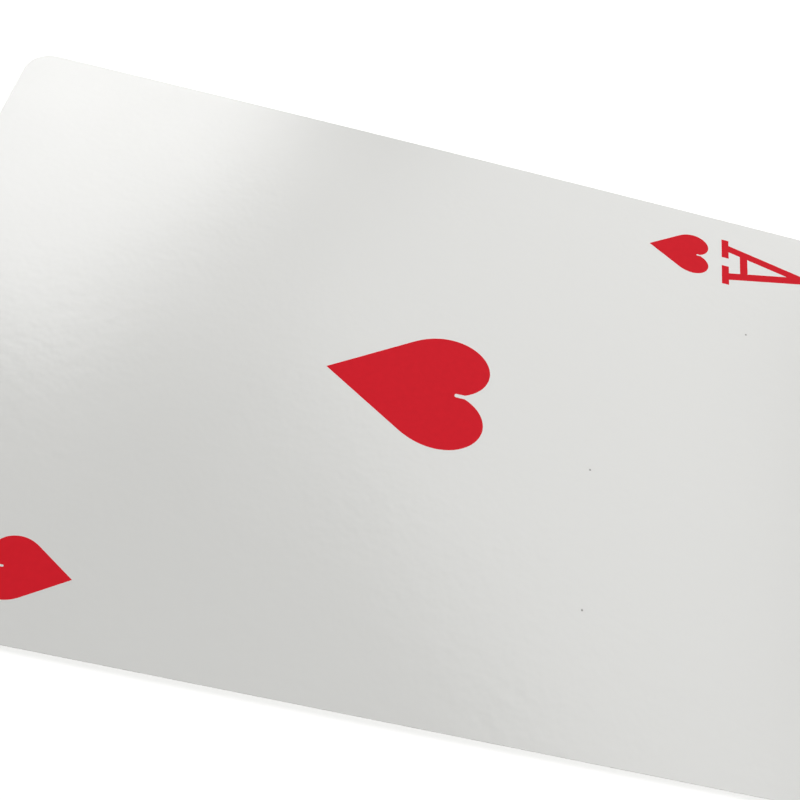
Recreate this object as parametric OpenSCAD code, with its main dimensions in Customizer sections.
// Deck of plastic playing cards, bridge size: one card dealt face up beside the squared stock.
// X runs along a card, towards its top end, Y across it, and Z is up.
// The origin is in the middle of the stock's underside.

/* [Card] */
// Length of a card
card_l = 89; // [80:0.5:100]
// Width of a card
card_w = 57; // [50:0.5:66]
// Thickness of a card's plastic sheet
card_t = 0.3; // [0.26:0.01:0.4]
// Radius of a card's corners
corner_r = 2.5; // [1.5:0.25:6]

/* [Layout] */
// Air between two cards of the stock
air_gap = 0.03; // [0.02:0.01:0.1]
// Furthest that a card of the stock lies off the squared pile
stagger = 0.35; // [0:0.05:1]
// Furthest that a card of the stock is turned in the pile, in degrees
stagger_turn = 0.25; // [0:0.05:1]
// Room between the dealt card and the stock
deal_gap = 12; // [4:1:40]

/* [Pips] */
// Height of the pip in the middle of the ace
ace_pip_h = 15; // [10:0.5:24]
// Height of a pip on the two
pip_h = 11.5; // [8:0.5:16]
// Distance from the middle of the two to the middle of each of its pips
pip_reach = 28; // [18:0.5:32]
// Height of the pip under a rank
index_pip_h = 6.5; // [4:0.25:8]

/* [Ranks] */
// Height of a rank in the corner
rank_h = 9.4; // [6:0.2:11]
// Width of a rank over its serifs
rank_w = 5.8; // [4:0.2:7]
// Width of a rank's strokes
stroke_w = 0.85; // [0.5:0.05:1.2]
// Thickness of a rank's flat serifs
serif_t = 0.8; // [0.5:0.05:1.2]
// Distance from the card's short edge to the top of a rank
rank_top = 4.7; // [3:0.1:7]
// Distance from the card's long edge to the middle of a rank
rank_side = 5.6; // [4:0.1:8]
// Room between a rank and the pip under it
rank_gap = 1.5; // [0.5:0.1:3]
// Thickness of the ink on a card's face
ink_t = 0.01; // [0.004:0.001:0.015]

/* [Hidden] */
// Straight pieces of the drawn curves
curve_steps = 20;
$fn = 64;

// Turn that spreads the cards' stray places evenly, in degrees
golden_turn = 137.5;

// Heart: middle and half-sizes of a lobe, and depth and half-width of its notch, by its height
lobe_middle_shares = [0.737, 0.177];
lobe_half_shares = [0.263, 0.2];
notch_share = 0.798;
slit_share = 0.012;

// Letter A, by the rank's width: half-widths over its legs at foot and top, and its serifs' inner ends
leg_share = 0.38;
apex_share = 0.08;
serif_inner_share = 0.095;
// Height of its crossbar's middle, by the rank's height
crossbar_share = 0.265;

// Figure two, by the rank's width: radius of its bow, and length of its slanting stroke's foot
bow_share = 0.43;
slant_foot_share = 0.2;
// Angles at which its bow starts and ends, in degrees
bow_start = -20;
bow_end = 165;

ranks = [
    "ace", "two", "three", "four", "five", "six", "seven",
    "eight", "nine", "ten", "jack", "queen", "king"
];

function suit_run(suit) = [for (rank = ranks) str(rank, "_of_", suit)];
function reversed(run) = [for (k = [len(run) - 1 : -1 : 0]) run[k]];

// A new deck's order, from the bottom up with its faces up. Its top card is the one dealt
deck = concat(
    ["black_joker", "red_joker"],
    suit_run("spades"),
    suit_run("diamonds"),
    reversed(suit_run("clubs")),
    reversed(suit_run("hearts"))
);
stock_count = len(deck) - 1;
top_level = stock_count - 1;

card_rise = card_t + air_gap;
deal_pitch = card_l + deal_gap;

// A card's plan, with its corners as true arcs
module card_plan() {
    square([card_l, card_w - 2 * corner_r], center = true);
    square([card_l - 2 * corner_r, card_w], center = true);
    for (end = [-1, 1])
        for (side = [-1, 1])
            translate([end * (card_l / 2 - corner_r), side * (card_w / 2 - corner_r)])
                circle(r = corner_r);
}

module sheet() {
    linear_extrude(card_t) card_plan();
}

// Puts a card at its level of the stock, a little off the squared pile. The lowest lies true
module on_stock(level) {
    stray_x = stagger * sin(golden_turn * level);
    stray_y = stagger * sin(golden_turn * level * level);
    turn = stagger_turn * sin(golden_turn * level * (level + 1));
    translate([stray_x, stray_y, level * card_rise])
        rotate(turn)
            children();
}

module dealt() {
    translate([-deal_pitch, 0, 0]) children();
}

// Lays a print's outlines on a card's face
module inked() {
    translate([0, 0, card_t]) linear_extrude(ink_t) children();
}

function lobe_point(angle) = [
    lobe_middle_shares.x + lobe_half_shares.x * cos(angle),
    lobe_middle_shares.y + lobe_half_shares.y * sin(angle)
];

// Where a straight side from the tip touches its lobe, and where the lobe meets the notch
lobe_tip = [
    -lobe_middle_shares.x / lobe_half_shares.x,
    -lobe_middle_shares.y / lobe_half_shares.y
];
touch_angle = 360 + atan2(lobe_tip.y, lobe_tip.x) - acos(1 / norm(lobe_tip));
notch_angle = asin((slit_share - lobe_middle_shares.y) / lobe_half_shares.y);

// Half of a heart one unit high, from its tip round its lobe to its notch
heart_half = concat(
    [[0, 0]],
    [
        for (k = [0 : curve_steps])
            lobe_point(touch_angle + (notch_angle - touch_angle) * k / curve_steps)
    ],
    [[notch_share, slit_share]]
);

// Heart pip, upright along X, with the middle of its height at the origin
module heart(height) {
    far_half = [for (p = reversed(heart_half)) [p.x, -p.y]];
    outline = concat(heart_half, [for (k = [0 : len(far_half) - 2]) far_half[k]]);
    translate([-height / 2, 0])
        polygon([for (p = outline) p * height]);
}

// Straight stroke between two points, as wide across the rank as stroke_w
module stem(foot, head) {
    half = [0, stroke_w / 2];
    polygon([foot - half, head - half, head + half, foot + half]);
}

// Letter A, upright along X, with its foot at the origin
module rank_ace() {
    leg = leg_share * rank_w - stroke_w / 2;
    apex = apex_share * rank_w - stroke_w / 2;
    bar_foot = crossbar_share * rank_h - stroke_w / 2;
    bar_half = leg + (apex - leg) * crossbar_share;
    serif_inner = serif_inner_share * rank_w;
    for (side = [-1, 1]) {
        stem([0, side * leg], [rank_h, side * apex]);
        translate([0, side * (rank_w / 2 + serif_inner) / 2 - (rank_w / 2 - serif_inner) / 2])
            square([serif_t, rank_w / 2 - serif_inner]);
    }
    translate([bar_foot, -bar_half])
        square([stroke_w, 2 * bar_half]);
}

// Figure two, upright along X, with its foot at the origin: bow, slanting stroke and flat foot
module rank_two() {
    bow_r = bow_share * rank_w;
    bow_middle = rank_h - bow_r;
    inner_r = bow_r - stroke_w;
    // Angles start on the figure's right, which is towards -Y, and turn to its left
    angles = [for (k = [0 : curve_steps]) bow_start + (bow_end - bow_start) * k / curve_steps];
    outer = [for (a = reversed(angles)) [bow_middle + bow_r * sin(a), -bow_r * cos(a)]];
    inner = [for (a = angles) [bow_middle + inner_r * sin(a), -inner_r * cos(a)]];
    foot = [
        [serif_t, bow_r - slant_foot_share * rank_w],
        [serif_t, -bow_r],
        [0, -bow_r],
        [0, bow_r],
        [serif_t, bow_r]
    ];
    polygon(concat(outer, foot, inner));
}

// A rank and a small heart in two opposite corners
module indices() {
    rank_foot = card_l / 2 - rank_top - rank_h;
    rank_middle = card_w / 2 - rank_side;
    for (turn = [0, 180])
        rotate(turn)
            translate([rank_foot, rank_middle]) {
                children();
                translate([-rank_gap - index_pip_h / 2, 0]) heart(index_pip_h);
            }
}

module stock_card(level) {
    color("whitesmoke") on_stock(level) sheet();
}

module ace_of_hearts() {
    color("whitesmoke") dealt() sheet();
}

module ace_of_hearts_print() {
    color("firebrick") dealt() inked() {
        heart(ace_pip_h);
        indices() rank_ace();
    }
}

module two_of_hearts_print() {
    color("firebrick") on_stock(top_level) inked() {
        for (turn = [0, 180])
            rotate(turn) translate([pip_reach, 0]) heart(pip_h);
        indices() rank_two();
    }
}

for (level = [0 : top_level])
    stock_card(level);
ace_of_hearts();
two_of_hearts_print();
ace_of_hearts_print();
